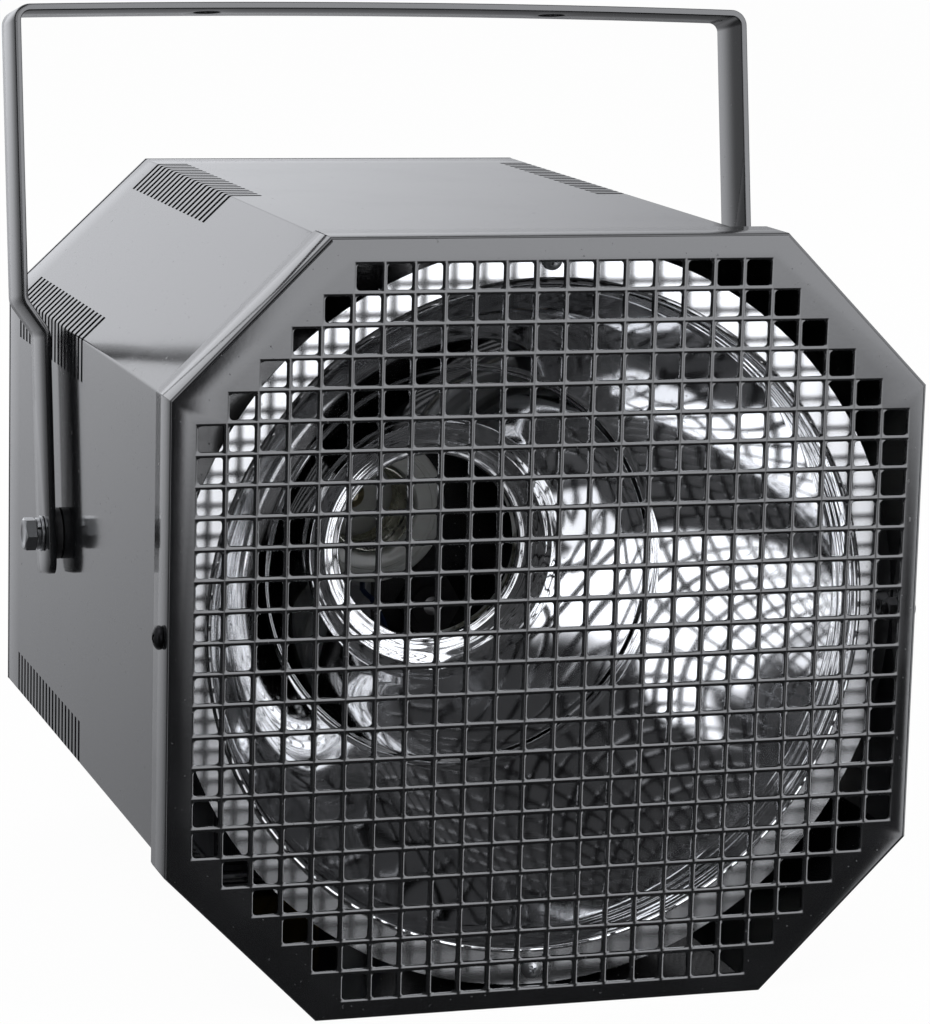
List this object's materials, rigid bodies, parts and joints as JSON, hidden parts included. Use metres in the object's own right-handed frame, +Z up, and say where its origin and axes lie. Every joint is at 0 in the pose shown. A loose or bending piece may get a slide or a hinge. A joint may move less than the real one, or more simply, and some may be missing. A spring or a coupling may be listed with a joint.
{
  "type": "blacklight floodlight",
  "caption": "Octagonal sheet-steel stage floodlight: grille front, mirror reflector with screw lampholder, slotted housing with control gear, and a flat-bar yoke that tilts.",
  "frame": {"origin": "under the middle of the box round the whole floodlight at rest, level with the bottom edge of the front frame, on which it stands", "axes": "+X right as seen from the front, -Y the way the light shines, +Z up; the yoke leans back 9.5 degrees from upright at rest"},
  "size_m": [0.331, 0.3626, 0.3777],
  "materials": {
    "black_paint": "gloss black powder coat, slight orange peel",
    "mirror_aluminium": "spun and polished to a mirror",
    "zinc_steel": "bright zinc plate",
    "black_steel": "blackened, satin",
    "galvanised_steel": "galvanised, spangled",
    "porcelain": "white glaze",
    "nickel_brass": "nickel plated",
    "core_steel": "varnished laminations",
    "coil_winding": "taped copper winding",
    "can_aluminium": "drawn, satin",
    "black_nylon": "moulded",
    "white_plastic": "moulded",
    "brown_insulation": "smooth",
    "blue_insulation": "smooth"
  },
  "bodies": {
    "housing": {"housing_shell": "black_paint", "rear_cover": "black_paint", "reflector": "mirror_aluminium", "cover_screw_top": "black_steel", "cover_screw_left": "black_steel", "cover_screw_right": "black_steel", "tray_screw_left": "black_steel", "tray_screw_right": "black_steel", "reflector_screw_top": "zinc_steel", "reflector_screw_bottom": "zinc_steel", "reflector_tab_top": "galvanised_steel", "reflector_tab_bottom": "galvanised_steel", "lampholder_body": "porcelain", "lampholder_shell": "nickel_brass", "lampholder_contact": "nickel_brass", "lampholder_bracket": "galvanised_steel", "holder_screw_left": "zinc_steel", "holder_screw_right": "zinc_steel", "bracket_screw": "zinc_steel", "gear_tray": "galvanised_steel", "ballast_core": "core_steel", "ballast_coil": "coil_winding", "ballast_screw_front": "zinc_steel", "ballast_screw_rear": "zinc_steel", "capacitor": "can_aluminium", "capacitor_clip": "white_plastic", "terminal_block": "white_plastic", "earth_screw": "nickel_brass", "cable_gland": "black_nylon", "gland_locknut": "black_nylon", "lead_feed": "brown_insulation", "lead_live": "brown_insulation", "lead_neutral": "blue_insulation", "pivot_spacer_left": "black_nylon", "flat_washer_left": "zinc_steel", "spring_washer_left": "zinc_steel", "pivot_bolt_left": "zinc_steel", "pivot_plate_left": "galvanised_steel", "pivot_nut_left": "zinc_steel", "pivot_spacer_right": "black_nylon", "flat_washer_right": "zinc_steel", "spring_washer_right": "zinc_steel", "pivot_bolt_right": "zinc_steel", "pivot_plate_right": "galvanised_steel", "pivot_nut_right": "zinc_steel"},
    "front_frame": {"front_grille": "black_paint", "front_flange": "black_paint", "frame_screw_left": "black_steel", "frame_screw_right": "black_steel", "frame_nut_left": "zinc_steel", "frame_nut_right": "zinc_steel"},
    "yoke": {"yoke": "black_paint"}
  },
  "joints": [
    {"name": "yoke_tilt", "type": "hinge", "parent": "housing", "child": "yoke", "pos_m": [0, 0.04075, 0.1521], "axis": [-1, 0, 0], "range_deg": [-51, 210]},
    {"name": "front_frame_slide", "type": "slide", "parent": "housing", "child": "front_frame", "axis": [0, -1, 0], "range_m": [0, 0.18]}
  ]
}
